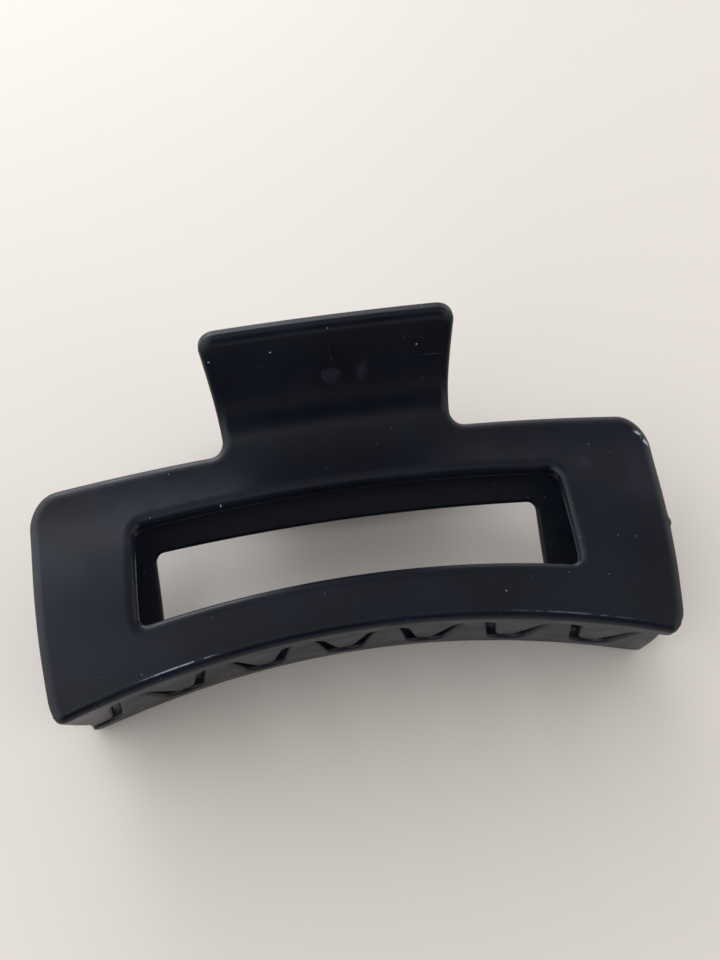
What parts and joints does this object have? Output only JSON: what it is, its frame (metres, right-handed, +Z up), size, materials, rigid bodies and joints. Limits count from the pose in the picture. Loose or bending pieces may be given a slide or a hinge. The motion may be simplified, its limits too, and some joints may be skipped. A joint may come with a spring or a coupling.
{
  "type": "claw clip",
  "caption": "Rectangular open-window hair claw clip: meshing toothed jaws with flared thumb tabs, hinged on a steel pin and closed by a torsion spring.",
  "frame": {"origin": "on the table, at the middle of the lying clip's bounding box", "axes": "+X along the clip, +Y from the toothed edge to the thumb tabs, +Z up from the table, the clip lying on its rear jaw"},
  "size_m": [0.1102, 0.0658, 0.053],
  "materials": {
    "jaw_plastic": "soft-touch matte",
    "pin_steel": "satin",
    "spring_steel": "drawn wire"
  },
  "bodies": {
    "rear": {"rear_jaw": "jaw_plastic", "hinge_pin": "pin_steel", "torsion_spring": "spring_steel"},
    "front": {"front_jaw": "jaw_plastic"}
  },
  "joints": [
    {"name": "jaw_hinge", "type": "hinge", "parent": "rear", "child": "front", "pos_m": [0, 0.00868, 0.02231], "axis": [-1, 0, 0], "range_deg": [0, 90], "stiffness_Nm_per_rad": 0.12, "springref_deg": -34.38, "deforming": ["torsion_spring"]}
  ]
}
